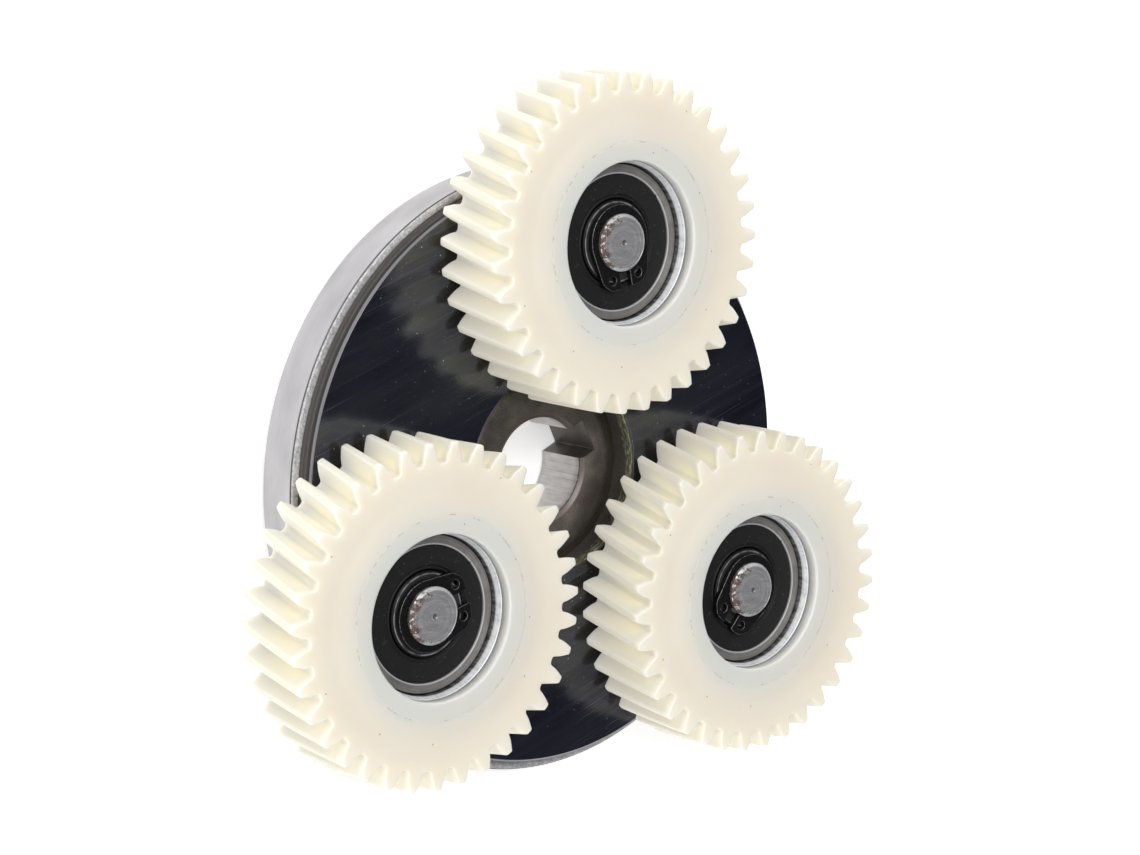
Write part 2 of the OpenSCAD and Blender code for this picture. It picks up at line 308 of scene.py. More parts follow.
def make_nylon():
    m = Mat("nylon")
    r, z = m.radius(), m.height()
    normal_z = m.xyz(m.n("TexCoord", out=1))[2]
    side = m.step(m.math("ABSOLUTE", normal_z), 0.98, 0.55)
    cloud = m.noise(m.mm(), 0.12, 2.0)
    soft_r = m.math("ADD", r, m.math("MULTIPLY", m.math("SUBTRACT", cloud, 0.5), 2.0))
    face = m.ramp(m.math("DIVIDE", soft_r, 24.0), [
        (0.47, lin(211, 212, 206)), (0.57, lin(214, 215, 208)), (0.605, lin(222, 219, 208)),
        (0.70, lin(231, 224, 209)), (0.85, lin(233, 226, 210)), (0.97, lin(231, 226, 214))])
    front = m.math("MULTIPLY", m.step(z, gear_z0 + 1, gear_z1 - 3), m.step(z, gear_z1, gear_z1 - 2.5))
    deep = m.math("MULTIPLY", m.step(r, 24.2, 21.6), m.step(r, 17.0, 18.0))
    patchy = m.step(m.noise(m.mm(), 0.07, 1.0), 0.15, 0.6)
    gullet = m.math("MULTIPLY", m.math("MULTIPLY", side, deep), m.math("MULTIPLY", front, patchy))
    flank = m.math("MULTIPLY", m.math("MULTIPLY", side, m.step(r, 18.0, 21.0)), m.step(z, gear_z1, gear_z1 - 1.5))
    # Painted light: the flanks near the front face are greyed where the painted glow below lifts them, and the gullets'
    # front ends take a yellow tint of light coming through the teeth
    colour = m.mix(flank, face, lin(184, 182, 172))
    colour = m.mix(m.math("MULTIPLY", gullet, 0.7), colour, lin(190, 183, 156))
    # Painted light: the bore's mouth wall is coloured lighter, as if lit through the nylon
    wall = m.math("MULTIPLY", side, m.step(r, mouth_r + 0.5, mouth_r + 0.2))
    colour = m.mix(wall, colour, lin(236, 236, 230))
    warm = m.step(m.noise(m.vec("ADD", m.mm(), (40, 7, 0)), 0.08, 2.0), 0.45, 0.7)
    colour = m.mix(m.math("MULTIPLY", m.math("MULTIPLY", warm, 0.3), m.math("SUBTRACT", 1.0, flank)), colour,
                   lin(230, 216, 200))
    # A broken brown line coloured round the boss's edge, in dashes set by noise round the axis
    around = m.vec("MULTIPLY", m.vec("NORMALIZE", m.vec("MULTIPLY", m.coords(), (1, 1, 0))), (14, 14, 0))
    overlay = m.math("MULTIPLY", m.step(m.noise(around, 0.55, 2.0), 0.50, 0.58), m.step(m.noise(around, 1.7, 2.0), 0.42, 0.52))
    ring = m.math("MULTIPLY", m.step(r, boss_r - 0.10, boss_r - 0.04), m.step(r, boss_r + 0.10, boss_r + 0.04))
    ring = m.math("MULTIPLY", m.math("MULTIPLY", ring, overlay), m.step(z, gear_z1, boss_z - 0.1))
    colour = m.mix(m.math("MULTIPLY", ring, 0.45), colour, lin(140, 118, 98))
    specks = m.dots(3.0, 0.16, 0.10)
    specks = m.math("MULTIPLY", specks, m.math("SUBTRACT", 1.0, side))
    colour = m.mix(m.math("MULTIPLY", specks, 0.7), colour, lin(110, 90, 60))
    fine = m.noise(m.mm(), 3.0, 3.0)
    # Painted light: emission stands in for light that comes through the teeth from behind; it fills the flanks, most of
    # all the gullets' front ends, and lifts the whole gear a little
    through = m.mix(gullet, lin(244, 240, 228), lin(250, 242, 214))
    glow = m.math("ADD", m.math("MULTIPLY", flank, 0.22), m.math("MULTIPLY", gullet, 0.16))
    m.p(Base_Color=colour, Roughness=0.48, Subsurface_Weight=1.0, Subsurface_Scale=MM * 2.5,
        Subsurface_Radius=(1.0, 0.9, 0.7), IOR=1.42, Normal=m.bump(fine, 0.10, 0.05),
        Emission_Color=through, Emission_Strength=m.math("ADD", glow, 0.08))
    return m.mat


def make_plate():
    m = Mat("ground_dark_steel")
    r, z = m.radius(), m.height()
    along = m.n("VectorRotate", ins={"Vector": m.mm(), "Angle": -math.radians(grain_angle)},
                rotation_type="Z_AXIS")
    wave = m.noise(m.vec("MULTIPLY", along, (0.03, 0.09, 0.1)), 1.0, 3.0, 0.55)
    base = m.ramp(wave, [
        (0.30, (0.036, 0.037, 0.050)), (0.47, (0.064, 0.066, 0.088)), (0.60, (0.084, 0.089, 0.100)),
        (0.75, (0.13, 0.135, 0.13))])
    streaks = m.noise(m.vec("MULTIPLY", along, (0.02, 0.9, 0)), 1.0, 3.0, 0.6)
    base = m.mix(m.math("MULTIPLY", m.step(streaks, 0.46, 0.74), 0.5), base, (0.11, 0.12, 0.13, 1))
    long = m.scratches(grain_angle, 30, 0.12, 0.66, 0.74, 1)
    fine = m.scratches(grain_angle - 3, 12, 0.05, 0.62, 0.80, 2)
    cross = m.scratches(grain_angle + 80, 5, 0.05, 0.72, 0.82, 3)
    marks = m.math("MAXIMUM", m.math("MAXIMUM", m.math("MULTIPLY", long, 0.6), m.math("MULTIPLY", fine, 0.35)),
                   m.math("MULTIPLY", cross, 0.30))
    dust = m.math("MAXIMUM", m.dots(1.6, 0.14, 0.12), m.math("MULTIPLY", m.dots(0.8, 0.07, 0.20), 0.6))
    colour = m.mix(marks, base, (0.22, 0.22, 0.23, 1))
    colour = m.mix(m.math("MULTIPLY", dust, 0.8), colour, (0.50, 0.50, 0.50, 1))
    rough = m.math("ADD", m.math("MULTIPLY", m.noise(m.mm(), 0.2, 3.0), 0.10), m.math("MULTIPLY", marks, 0.2))
    rough = m.math("ADD", rough, 0.10)
    height = m.math("SUBTRACT", dust, marks)

    # The hole's wall: worn brown steel with a greasy olive film near its top edge
    wall = m.math("MULTIPLY", m.step(r, plate_hole_r + 0.35, plate_hole_r + 0.1), m.step(z, plate_z - 0.15, plate_z - 0.4))
    grain = m.noise(m.mm(), 5.0, 4.0, 0.7)
    brown = m.ramp(grain, [(0.35, (0.075, 0.066, 0.060)), (0.55, (0.13, 0.12, 0.11)), (0.75, (0.25, 0.23, 0.21))])
    film_edge = m.math("ADD", z, m.math("MULTIPLY", m.noise(m.mm(), 0.6, 3.0), 1.6))
    film = m.step(film_edge, plate_z - 1.0, plate_z - 0.75)
    olive = m.ramp(m.noise(m.vec("MULTIPLY", m.mm(), (1, 1, 4)), 1.2, 4.0), [
        (0.35, (0.09, 0.09, 0.055)), (0.52, (0.20, 0.195, 0.13)), (0.68, (0.55, 0.53, 0.40))])
    colour = m.mix(wall, colour, m.mix(film, brown, olive))

    # The rim: a striped dark side, then a bright turned chamfer
    rim = m.math("MULTIPLY", m.step(r, plate_r - 0.55, plate_r - 0.47), m.step(z, plate_z - 0.01, plate_z - 0.04))
    stripes = m.noise(m.combine(r, z, 0.0), 5.0, 2.0, 0.6)
    striped = m.ramp(stripes, [
        (0.3, (0.06, 0.052, 0.048)), (0.5, (0.115, 0.102, 0.096)), (0.7, (0.21, 0.195, 0.19))])
    chamfer = m.step(z, plate_z - 0.36, plate_z - 0.28)
    # Painted light: below the bead's crest the side is lightened against the shade of the corner it sits in
    striped = m.mix(m.step(z, cup_top + 0.5, cup_top), striped, (0.30, 0.28, 0.27, 1))
    striped = m.mix(m.step(z, plate_z - 1.0, plate_z - 0.72), striped, (0.030, 0.026, 0.026, 1))
    striped = m.mix(chamfer, striped, m.ramp(stripes, [(0.3, (0.13, 0.13, 0.13)), (0.7, (0.26, 0.255, 0.255))]))
    colour = m.mix(rim, colour, striped)
    either = m.math("MAXIMUM", wall, rim)
    m.p(Base_Color=colour, Metallic=m.math("SUBTRACT", 0.95, m.math("MULTIPLY", either, 0.6)),
        Roughness=m.math("ADD", rough, m.math("MULTIPLY", either, 0.22)),
        Normal=m.bump(m.math("ADD", height, m.math("MULTIPLY", m.math("MULTIPLY", grain, wall), 3.0)), 0.18, 0.03))
    return m.mat


def make_cup():
    m = Mat("drawn_steel")
    r, z = m.radius(), m.height()
    crumble = m.noise(m.vec("MULTIPLY", m.mm(), (1, 1, 0.5)), 2.6, 4.0, 0.6)
    bead = m.step(z, cup_wall_top - 0.08, cup_wall_top + 0.02)
    turned = m.noise(m.combine(r, z, 0.0), 3.0, 3.0, 0.7)
    blotch = m.noise(m.vec("MULTIPLY", m.mm(), (1, 1, 2)), 0.10, 3.0)
    wall = m.ramp(m.math("ADD", m.math("MULTIPLY", blotch, 0.7), m.math("MULTIPLY", turned, 0.3)), [
        (0.35, (0.36, 0.355, 0.365)), (0.5, (0.42, 0.41, 0.42)), (0.65, (0.48, 0.475, 0.49))])
    rough_metal = m.ramp(crumble, [
        (0.30, (0.30, 0.29, 0.29)), (0.46, (0.46, 0.45, 0.455)), (0.60, (0.58, 0.57, 0.575)), (0.76, (0.90, 0.90, 0.90))])
    # Painted shade: the bead is darkened towards the plate, in the corner between them
    inner = m.step(r, plate_r + 0.40, plate_r + 0.10)
    rough_metal = m.mix(m.math("MULTIPLY", inner, 0.4), rough_metal, (0.22, 0.20, 0.19, 1))
    colour = m.mix(bead, wall, rough_metal)
    line = m.math("MULTIPLY", m.step(z, cup_wall_top - 0.16, cup_wall_top - 0.10),
                  m.step(z, cup_wall_top + 0.10, cup_wall_top + 0.02))
    line = m.math("MULTIPLY", line, m.step(r, cup_r - 0.35, cup_r - 0.25))
    colour = m.mix(m.math("MULTIPLY", line, 0.8), colour, (0.06, 0.055, 0.06, 1))
    bumps = m.mix(bead, turned, crumble)
    m.p(Base_Color=colour, Metallic=m.math("SUBTRACT", 1.0, m.math("MULTIPLY", bead, 0.7)),
        Roughness=m.math("ADD", m.math("MULTIPLY", turned, 0.15), 0.34),
        Normal=m.bump(bumps, m.math("ADD", m.math("MULTIPLY", bead, 0.30), 0.08), 0.12))
    return m.mat


def make_hub():
    m = Mat("hub_steel")
    r, z = m.radius(), m.height()
    grain = m.noise(m.mm(), 5.0, 5.0, 0.75)
    rings = m.noise(m.combine(r, 0.0, 0.0), 2.6, 2.0, 0.6)
    cloud = m.noise(m.mm(), 0.25, 3.0)
    brown = m.ramp(m.math("ADD", m.math("MULTIPLY", grain, 0.55), m.math("MULTIPLY", cloud, 0.45)), [
        (0.35, (0.066, 0.058, 0.053)), (0.50, (0.122, 0.110, 0.101)), (0.70, (0.25, 0.23, 0.215))])
    overlay = m.ramp(m.noise(m.vec("MULTIPLY", m.mm(), (1, 1, 0.25)), 1.6, 4.0), [
        (0.30, (0.46, 0.44, 0.435)), (0.70, (0.60, 0.58, 0.575))])
    drag = m.math("MULTIPLY", m.scratches(20, 4, 0.25, 0.62, 0.70, 5), 0.5)
    overlay = m.mix(drag, overlay, (0.10, 0.10, 0.10, 1))
    in_bore = m.step(r, bore_r + 0.12, bore_r + 0.02)
    band = m.math("MULTIPLY", m.step(r, bore_r + 0.02, bore_r + 0.15), m.step(r, bore_r + 0.78, bore_r + 0.60))
    band = m.math("MULTIPLY", band, m.step(z, hub_z1 - 0.7, hub_z1 - 0.5))
    colour = m.mix(band, brown, m.mix(grain, (0.10, 0.085, 0.078, 1), (0.24, 0.20, 0.185, 1)))
    colour = m.mix(in_bore, colour, overlay)
    ragged = m.math("ADD", z, m.math("MULTIPLY", m.noise(m.mm(), 1.5, 4.0), 0.5))
    lip = m.math("MULTIPLY", in_bore, m.step(ragged, hub_z1 - 0.45, hub_z1 - 0.32))
    colour = m.mix(m.math("MULTIPLY", lip, 0.8), colour, (0.03, 0.027, 0.025, 1))
    m.p(Base_Color=colour, Metallic=0.75, Roughness=m.math("ADD", m.math("MULTIPLY", grain, 0.25), 0.32),
        Normal=m.bump(m.math("ADD", grain, m.math("MULTIPLY", rings, 0.6)), 0.28, 0.06))
    return m.mat


def make_turned(name, dark, light, roughness, per_mm, strength=0.2, metallic=1.0, jitter=0.0):
    m = Mat(name)
    marks = m.turning(per_mm, jitter)
    cloud = m.noise(m.mm(), 0.5, 2.0)
    colour = m.mix(m.math("ADD", m.math("MULTIPLY", marks, 0.6), m.math("MULTIPLY", cloud, 0.4)),
                   (*dark, 1), (*light, 1))
    m.p(Base_Color=colour, Metallic=metallic, Roughness=m.math("ADD", m.math("MULTIPLY", marks, 0.15), roughness - 0.08),
        Normal=m.bump(marks, strength, 0.03))
    return m.mat


def make_pin():
    m = Mat("pin_steel")
    r = m.radius()
    off_centre = m.vec("ADD", m.mm(), (0.25, 0.15, 0.0))
    swirl = m.vec("LENGTH", m.vec("MULTIPLY", off_centre, (1, 1, 0)), out=1)
    rings = m.noise(m.combine(m.math("ADD", swirl, m.math("MULTIPLY", m.noise(m.mm(), 0.8, 1.0), 0.4)), 0.0, 0.0),
                    3.4, 2.5, 0.65)
    fine = m.noise(m.combine(swirl, 0.0, 0.0), 11.0, 2.0, 0.6)
    brushed = m.noise(m.vec("MULTIPLY", m.mm(), (0.5, 2.5, 1.0)), 1.0, 3.0, 0.6)
    mixed = m.math("ADD", m.math("MULTIPLY", rings, 0.4), m.math("MULTIPLY", fine, 0.3))
    mixed = m.math("ADD", mixed, m.math("MULTIPLY", brushed, 0.3))
    steel = m.ramp(mixed, [(0.34, (0.22, 0.215, 0.215)), (0.50, (0.40, 0.39, 0.39)), (0.64, (0.64, 0.63, 0.63))])
    centre_dot = m.step(r, 0.50, 0.30)
    steel = m.mix(m.math("MULTIPLY", centre_dot, 0.75), steel, (0.05, 0.05, 0.05, 1))
    rim = m.math("MULTIPLY", m.step(r, pin_r - 0.50, pin_r - 0.42), m.step(m.height(), pin_z1 - 0.5, pin_z1 - 0.4))
    steel = m.mix(m.math("MULTIPLY", rim, 0.8), steel, m.ramp(fine, [(0.3, (0.35, 0.35, 0.35)), (0.6, (0.95, 0.95, 0.95))]))
    mark = m.speckle(1.6, 0.70, 0.74)
    steel = m.mix(m.math("MULTIPLY", mark, 0.35), steel, (0.18, 0.17, 0.16, 1))
    patch = m.noise(m.vec("ADD", m.mm(), (3.0, 11.0, 0.0)), 1.1, 6.0, 0.75)
    near_edge = m.step(r, 2.4, 3.5)
    worn_side = m.step(m.xyz(m.mm())[0], 2.0, -4.0)
    patch = m.math("ADD", patch, m.math("MULTIPLY", m.math("MULTIPLY", worn_side, near_edge), 0.20))
    rust = m.step(patch, 0.63, 0.69)
    rust_colour = m.ramp(m.noise(m.mm(), 6.0, 4.0), [(0.35, lin(50, 34, 28)), (0.65, lin(104, 72, 58))])
    colour = m.mix(m.math("MULTIPLY", rust, 0.92), steel, rust_colour)
    m.p(Base_Color=colour, Metallic=m.math("SUBTRACT", 0.55, m.math("MULTIPLY", rust, 0.5)),
        Roughness=m.math("ADD", m.math("MULTIPLY", rust, 0.4), 0.34),
        Normal=m.bump(m.math("ADD", m.math("MULTIPLY", rings, 0.8), m.math("MULTIPLY", rust, m.noise(m.mm(), 9.0, 4.0))),
                      0.35, 0.05))
    return m.mat


def make_rubber():
    m = Mat("seal_rubber")
    grain = m.noise(m.mm(), 7.0, 3.0, 0.7)
    dust = m.speckle(3.2, 0.72, 0.78)
    fleck = m.math("MULTIPLY", m.scratches(25, 1.4, 0.12, 0.70, 0.76, 7), m.speckle(0.5, 0.5, 0.6))
    colour = m.ramp(grain, [(0.3, (0.004, 0.004, 0.004)), (0.7, (0.011, 0.011, 0.011))])
    colour = m.mix(m.math("MULTIPLY", m.math("MAXIMUM", dust, fleck), 0.5), colour, (0.16, 0.16, 0.16, 1))
    m.p(Base_Color=colour, Roughness=m.math("ADD", m.math("MULTIPLY", grain, 0.2), 0.46), IOR=1.40,
        Normal=m.bump(grain, 0.3, 0.05))
    return m.mat


def make_clip():
    m = Mat("clip_steel")
    grain = m.noise(m.mm(), 3.5, 4.0, 0.7)
    colour = m.ramp(grain, [(0.35, (0.008, 0.008, 0.008)), (0.6, (0.018, 0.018, 0.018)), (0.8, (0.07, 0.07, 0.07))])
    normal_z = m.xyz(m.n("TexCoord", out=1))[2]
    # Painted highlight: the upward-facing edge bevels are coloured light grey where the grain is high
    overlay = m.math("MULTIPLY", m.step(normal_z, 0.20, 0.35), m.step(normal_z, 0.97, 0.90))
    colour = m.mix(m.math("MULTIPLY", overlay, m.step(grain, 0.35, 0.55)), colour, (0.17, 0.17, 0.17, 1))
    m.p(Base_Color=colour, Metallic=0.7, Roughness=m.math("ADD", m.math("MULTIPLY", grain, 0.25), 0.25),
        Normal=m.bump(grain, 0.2, 0.04))
    return m.mat


def make_ring():
    """Outer bearing ring: ground grey face, a bright line at the seal's seat and painted shadow, nearly black, on the
    outer chamfer.
    """
    m = Mat("ring_steel")
    r, z = m.radius(), m.height()
    marks = m.turning(4.0)
    cloud = m.noise(m.mm(), 0.5, 3.0)
    colour = m.mix(m.math("ADD", m.math("MULTIPLY", marks, 0.5), m.math("MULTIPLY", cloud, 0.5)),
                   (0.04, 0.037, 0.035, 1), (0.50, 0.48, 0.46, 1))
    seat = m.math("MULTIPLY", m.step(r, seal_r - 0.02, seal_r + 0.02), m.step(r, seal_r + 0.24, seal_r + 0.18))
    colour = m.mix(m.math("MULTIPLY", seat, 0.85), colour, (0.72, 0.72, 0.72, 1))
    stain = m.speckle(1.1, 0.76, 0.79)
    colour = m.mix(m.math("MULTIPLY", stain, 0.7), colour, (0.06, 0.03, 0.02, 1))
    # Painted shadow: the outer chamfer is coloured nearly black, for the shaded gap beside the insert
    outside = m.step(r, bearing_r - 0.30, bearing_r - 0.20)
    colour = m.mix(outside, colour, (0.006, 0.006, 0.006, 1))
    m.p(Base_Color=colour, Metallic=m.math("SUBTRACT", 0.55, m.math("MULTIPLY", outside, 0.5)),
        Roughness=m.math("ADD", m.math("MULTIPLY", marks, 0.15), 0.32), Normal=m.bump(marks, 0.2, 0.03))
    return m.mat


def make_race():
    """Inner bearing ring: a dark ground face with a broken bright line at its outer edge."""
    m = Mat("race_steel")
    r = m.radius()
    marks = m.turning(4.0)
    cloud = m.noise(m.mm(), 0.6, 3.0)
    colour = m.mix(m.math("ADD", m.math("MULTIPLY", marks, 0.5), m.math("MULTIPLY", cloud, 0.5)),
                   (0.015, 0.015, 0.015, 1), (0.10, 0.10, 0.10, 1))
    line = m.math("MULTIPLY", m.step(r, land_r - 0.52, land_r - 0.44), m.step(r, land_r - 0.28, land_r - 0.34))
    line = m.math("MULTIPLY", line, m.step(cloud, 0.30, 0.55))
    colour = m.mix(line, colour, (0.42, 0.42, 0.42, 1))
    colour = m.mix(m.step(r, land_r - 0.30, land_r - 0.24), colour, (0.010, 0.010, 0.010, 1))
    m.p(Base_Color=colour, Metallic=0.7, Roughness=m.math("ADD", m.math("MULTIPLY", marks, 0.15), 0.38),
        Normal=m.bump(marks, 0.2, 0.03))
    return m.mat


def make_insert_steel():
    """Steel insert: a grey streaked seat above the bearing, kept dark as painted shade, and a bright front band that is
    a painted reflection.
    """
    m = Mat("insert_steel")
    r, z = m.radius(), m.height()
    streak = m.noise(m.vec("MULTIPLY", m.mm(), (1, 1, 0.3)), 1.3, 4.0, 0.65)
    marks = m.turning(3.0)
    # Painted shade and painted reflection: the seat's colour is kept dark for the wall's lower part in shade, and the
    # upper band is bright for the wall's reflection of bright surroundings
    seat = m.ramp(streak, [(0.35, (0.06, 0.06, 0.06)), (0.5, (0.20, 0.20, 0.205)), (0.65, (0.38, 0.38, 0.39))])
    bright = m.ramp(m.math("ADD", m.math("MULTIPLY", streak, 0.6), m.math("MULTIPLY", marks, 0.4)), [
        (0.35, (0.62, 0.63, 0.65)), (0.5, (0.90, 0.91, 0.93)), (0.65, (1.0, 1.0, 1.0))])
    edge = m.step(z, insert_z1 - 1.10, insert_z1 - 0.85)
    colour = m.mix(edge, seat, bright)
    rim = m.math("MULTIPLY", m.step(r, mouth_r - 0.08, mouth_r - 0.03), m.step(z, insert_z1 - 0.1, insert_z1 - 0.02))
    colour = m.mix(m.math("MULTIPLY", rim, 0.7), colour, (0.10, 0.10, 0.10, 1))
    m.p(Base_Color=colour, Metallic=m.math("SUBTRACT", 0.6, m.math("MULTIPLY", edge, 0.35)),
        Roughness=m.math("ADD", m.math("MULTIPLY", streak, 0.2), 0.25),
        Normal=m.bump(streak, 0.25, 0.04))
    return m.mat


NYLON = make_nylon()
PLATE = make_plate()
CUP = make_cup()
HUB = make_hub()
PIN = make_pin()
RUBBER = make_rubber()
CLIP = make_clip()
INSERT = make_insert_steel()
RING = make_ring()
RACE = make_race()
POLISHED = make_turned("bearing_steel", (0.45, 0.45, 0.46), (0.72, 0.72, 0.73), 0.18, 5.0)
BRONZE = make_turned("bronze", (0.05, 0.042, 0.03), (0.11, 0.09, 0.06), 0.45, 4.0, metallic=0.7)
BRASS = make_turned("brass", (0.38, 0.27, 0.10), (0.62, 0.47, 0.20), 0.3, 4.0)
SPRING = make_turned("spring_steel", (0.25, 0.25, 0.26), (0.45, 0.45, 0.46), 0.3, 6.0)


# ---------------------------------------------------------------- cup, plate, hub, bushes

def make_housing():
    crest, bead_r = cup_top, plate_r + 0.12
    profile = rounded([
        (rear_bush_r, cup_z0 + 1.0, 0.15), (rear_bush_r, neck_z, 0.2), (neck_r, neck_z, 0.35),
        (neck_r, cup_z0, 0.5), (cup_r, cup_z0, 0.65), (cup_r, cup_wall_top - 0.05, 0.05),
        (cup_r - 0.12, cup_wall_top - 0.02, 0.03), (cup_r - 0.16, crest - 0.08, 0.12),
        (cup_r - 0.50, crest, 0.25), (bead_r + 0.22, crest, 0.2), (bead_r, crest - 0.25, 0.15),
        (bead_r - 0.08, cup_wall_top - 0.6, 0.0), (bead_r - 0.10, cup_z0 + 1.0, 0.0)])

    def hammered(r, z, t):
        if z < cup_wall_top - 0.25:
            return r, z
        p = Vector((r * math.cos(t), r * math.sin(t), z))
        d = noise.noise(p * 1.7) * 0.05 + noise.noise(p * 4.5) * 0.03
        w = min(1.0, max(0.0, (cup_r - r) * 4))
        return r - abs(d) * w, z + d * w - 0.03

    ob = lathe("cup", profile, sides=720, warp=hammered)
    return finish_piece(ob, CUP, "carrier", "cup_steel", "clutch_housing")


def make_carrier_plate():
    race, collar, back, floor_z = 27.0, 16.4, 8.2, 4.2
    profile = rounded([
        (plate_hole_r, 6.2, 0.1), (collar, 6.2, 0.1), (collar, back, 0.1), (race, back, 0.1),
        (race, floor_z, 0.1), (plate_r, floor_z, 0.1), (plate_r, plate_z - 2.6, 0.0),
        (plate_r - 0.06, plate_z - 2.5, 0.0), (plate_r - 0.06, plate_z - 1.9, 0.0), (plate_r, plate_z - 1.8, 0.0),
        (plate_r, plate_z - 0.55, 0.06), (plate_r - 0.50, plate_z, 0.06),
        (plate_hole_r + 0.4, plate_z, 0.12), (plate_hole_r + 0.05, plate_z - 0.5, 0.1),
        (plate_hole_r, plate_z - 1.45, 0.05)])
    ob = lathe("plate", profile, sides=480)
    return finish_piece(ob, PLATE, "carrier", "plate_steel", "carrier_plate")


def bore_outline(t, grow, key_grow):
    """Radius of the keyed bore at angle t, enlarged by grow in the bore and key_grow in the keyway."""
    rel = (t - key_angle + math.pi) % TAU - math.pi
    half, depth, radius = key_half + key_grow, key_depth + key_grow, bore_r + grow
    if abs(rel) > math.pi / 2:
        return radius
    floor = depth / math.cos(rel)
    wall = half / abs(math.sin(rel)) if abs(math.sin(rel)) > 1e-6 else 1e9
    return max(radius, min(floor, wall))


def make_clutch_hub():
    corner_in = math.asin(key_half / bore_r)
    corner_out = math.atan2(key_half, key_depth)
    angles = [TAU * j / SIDES for j in range(SIDES)]
    for c in (corner_in, corner_out):
        for s in (-1, 1):
            for d in (-0.012, -0.003, 0.003, 0.012):
                angles.append((key_angle + s * (c + d)) % TAU)
    angles = sorted(angles)

    def turned_row(r, z):
        return [(r * math.cos(t), r * math.sin(t), z) for t in angles]

    def bore_row(z, grow, key_grow):
        return [(bore_outline(t, grow, key_grow) * math.cos(t), bore_outline(t, grow, key_grow) * math.sin(t), z)
                for t in angles]

    outer = rounded([
        (11.0, 0.0, 0.0), (hub_rear_r, 0.0, 0.4), (hub_rear_r, 4.4, 0.1), (26.7, 4.4, 0.1), (26.7, 8.0, 0.1),
        (16.8, 8.0, 0.1), (16.8, 5.9, 0.1), (hub_front_r, 5.9, 0.1), (hub_front_r, hub_z1 - 0.7, 0.5),
        (hub_front_r - 1.35, hub_z1, 0.9), (11.0, hub_z1, 0.0)], steps=8)
    rows = [bore_row(0.35, 0.0, 0.0), bore_row(0.08, 0.22, 0.12), bore_row(0.0, 0.30, 0.2)]
    rows += [turned_row(r, z) for r, z in outer]
    rows += [bore_row(hub_z1, 0.62, 0.16), bore_row(hub_z1 - 0.04, 0.56, 0.10),
             bore_row(hub_z1 - 0.2, 0.35, 0.03), bore_row(hub_z1 - 0.42, 0.06, 0.0),
             bore_row(hub_z1 - 0.5, 0.0, 0.0)]
    rows += [bore_row(hub_z1 - 0.5 - k * 1.4, 0.0, 0.0) for k in range(1, 6)]
    ob = grid("hub", rows)
    return finish_piece(ob, HUB, "hub", "hub_steel", "clutch_hub")


def make_bushes():
    for name, r_in, r_out, z0, z1 in (
            ("front_bushing", hub_front_r + 0.05, plate_hole_r, 6.2, 8.2),
            ("rear_bushing", hub_rear_r + 0.05, rear_bush_r, neck_z, 4.19)):
        f = 0.18
        ob = lathe(name, rounded([(r_in, z0, f), (r_in, z1, f), (r_out, z1, f), (r_out, z0, f)]))
        finish_piece(ob, BRONZE, "carrier", "bronze", name.replace("ing", ""))


# ---------------------------------------------------------------- planets

def involute_half_angle():
    """The half-tooth's angle as a function of radius, in radians."""
    pitch = teeth * 1.25 / math.cos(helix) / 2
    pressure = math.atan(math.tan(math.radians(20)) / math.cos(helix))
    base = pitch * math.cos(pressure)
    inv = lambda a: math.tan(a) - a
    def half(r):
        at = math.pi / 2 / teeth - 0.075 / pitch / 2
        return at + inv(pressure) - inv(math.acos(min(1.0, base / r)))
    return half, base, pitch


def tooth_outline():
    """One tooth of the gear's outline, as (radius, angle) from gullet to gullet."""
    half, base, pitch = involute_half_angle()
    tip, root = tip_r, pitch - 1.25 * 1.25
    gullet = math.pi / teeth
    join, flank_top = base + 0.30, tip - 0.34
    side = []
    for k in range(7):
        t = k / 7
        r = root * (1 - t * t) + join * t * t
        a = gullet * (1 - t) ** 2 + (half(base) + 0.001) * 2 * t * (1 - t) + half(join) * t * t
        side.append((r, a))
    side += [(r, half(r)) for r in (join + (flank_top - join) * k / 7 for k in range(8))]
    a = half(flank_top)
    side += [(tip - 0.19, a * 0.93), (tip - 0.08, a * 0.78), (tip - 0.02, a * 0.55), (tip, a * 0.25)]
    return [(r, -a) for r, a in side] + [(r, a) for r, a in reversed(side[1:])]


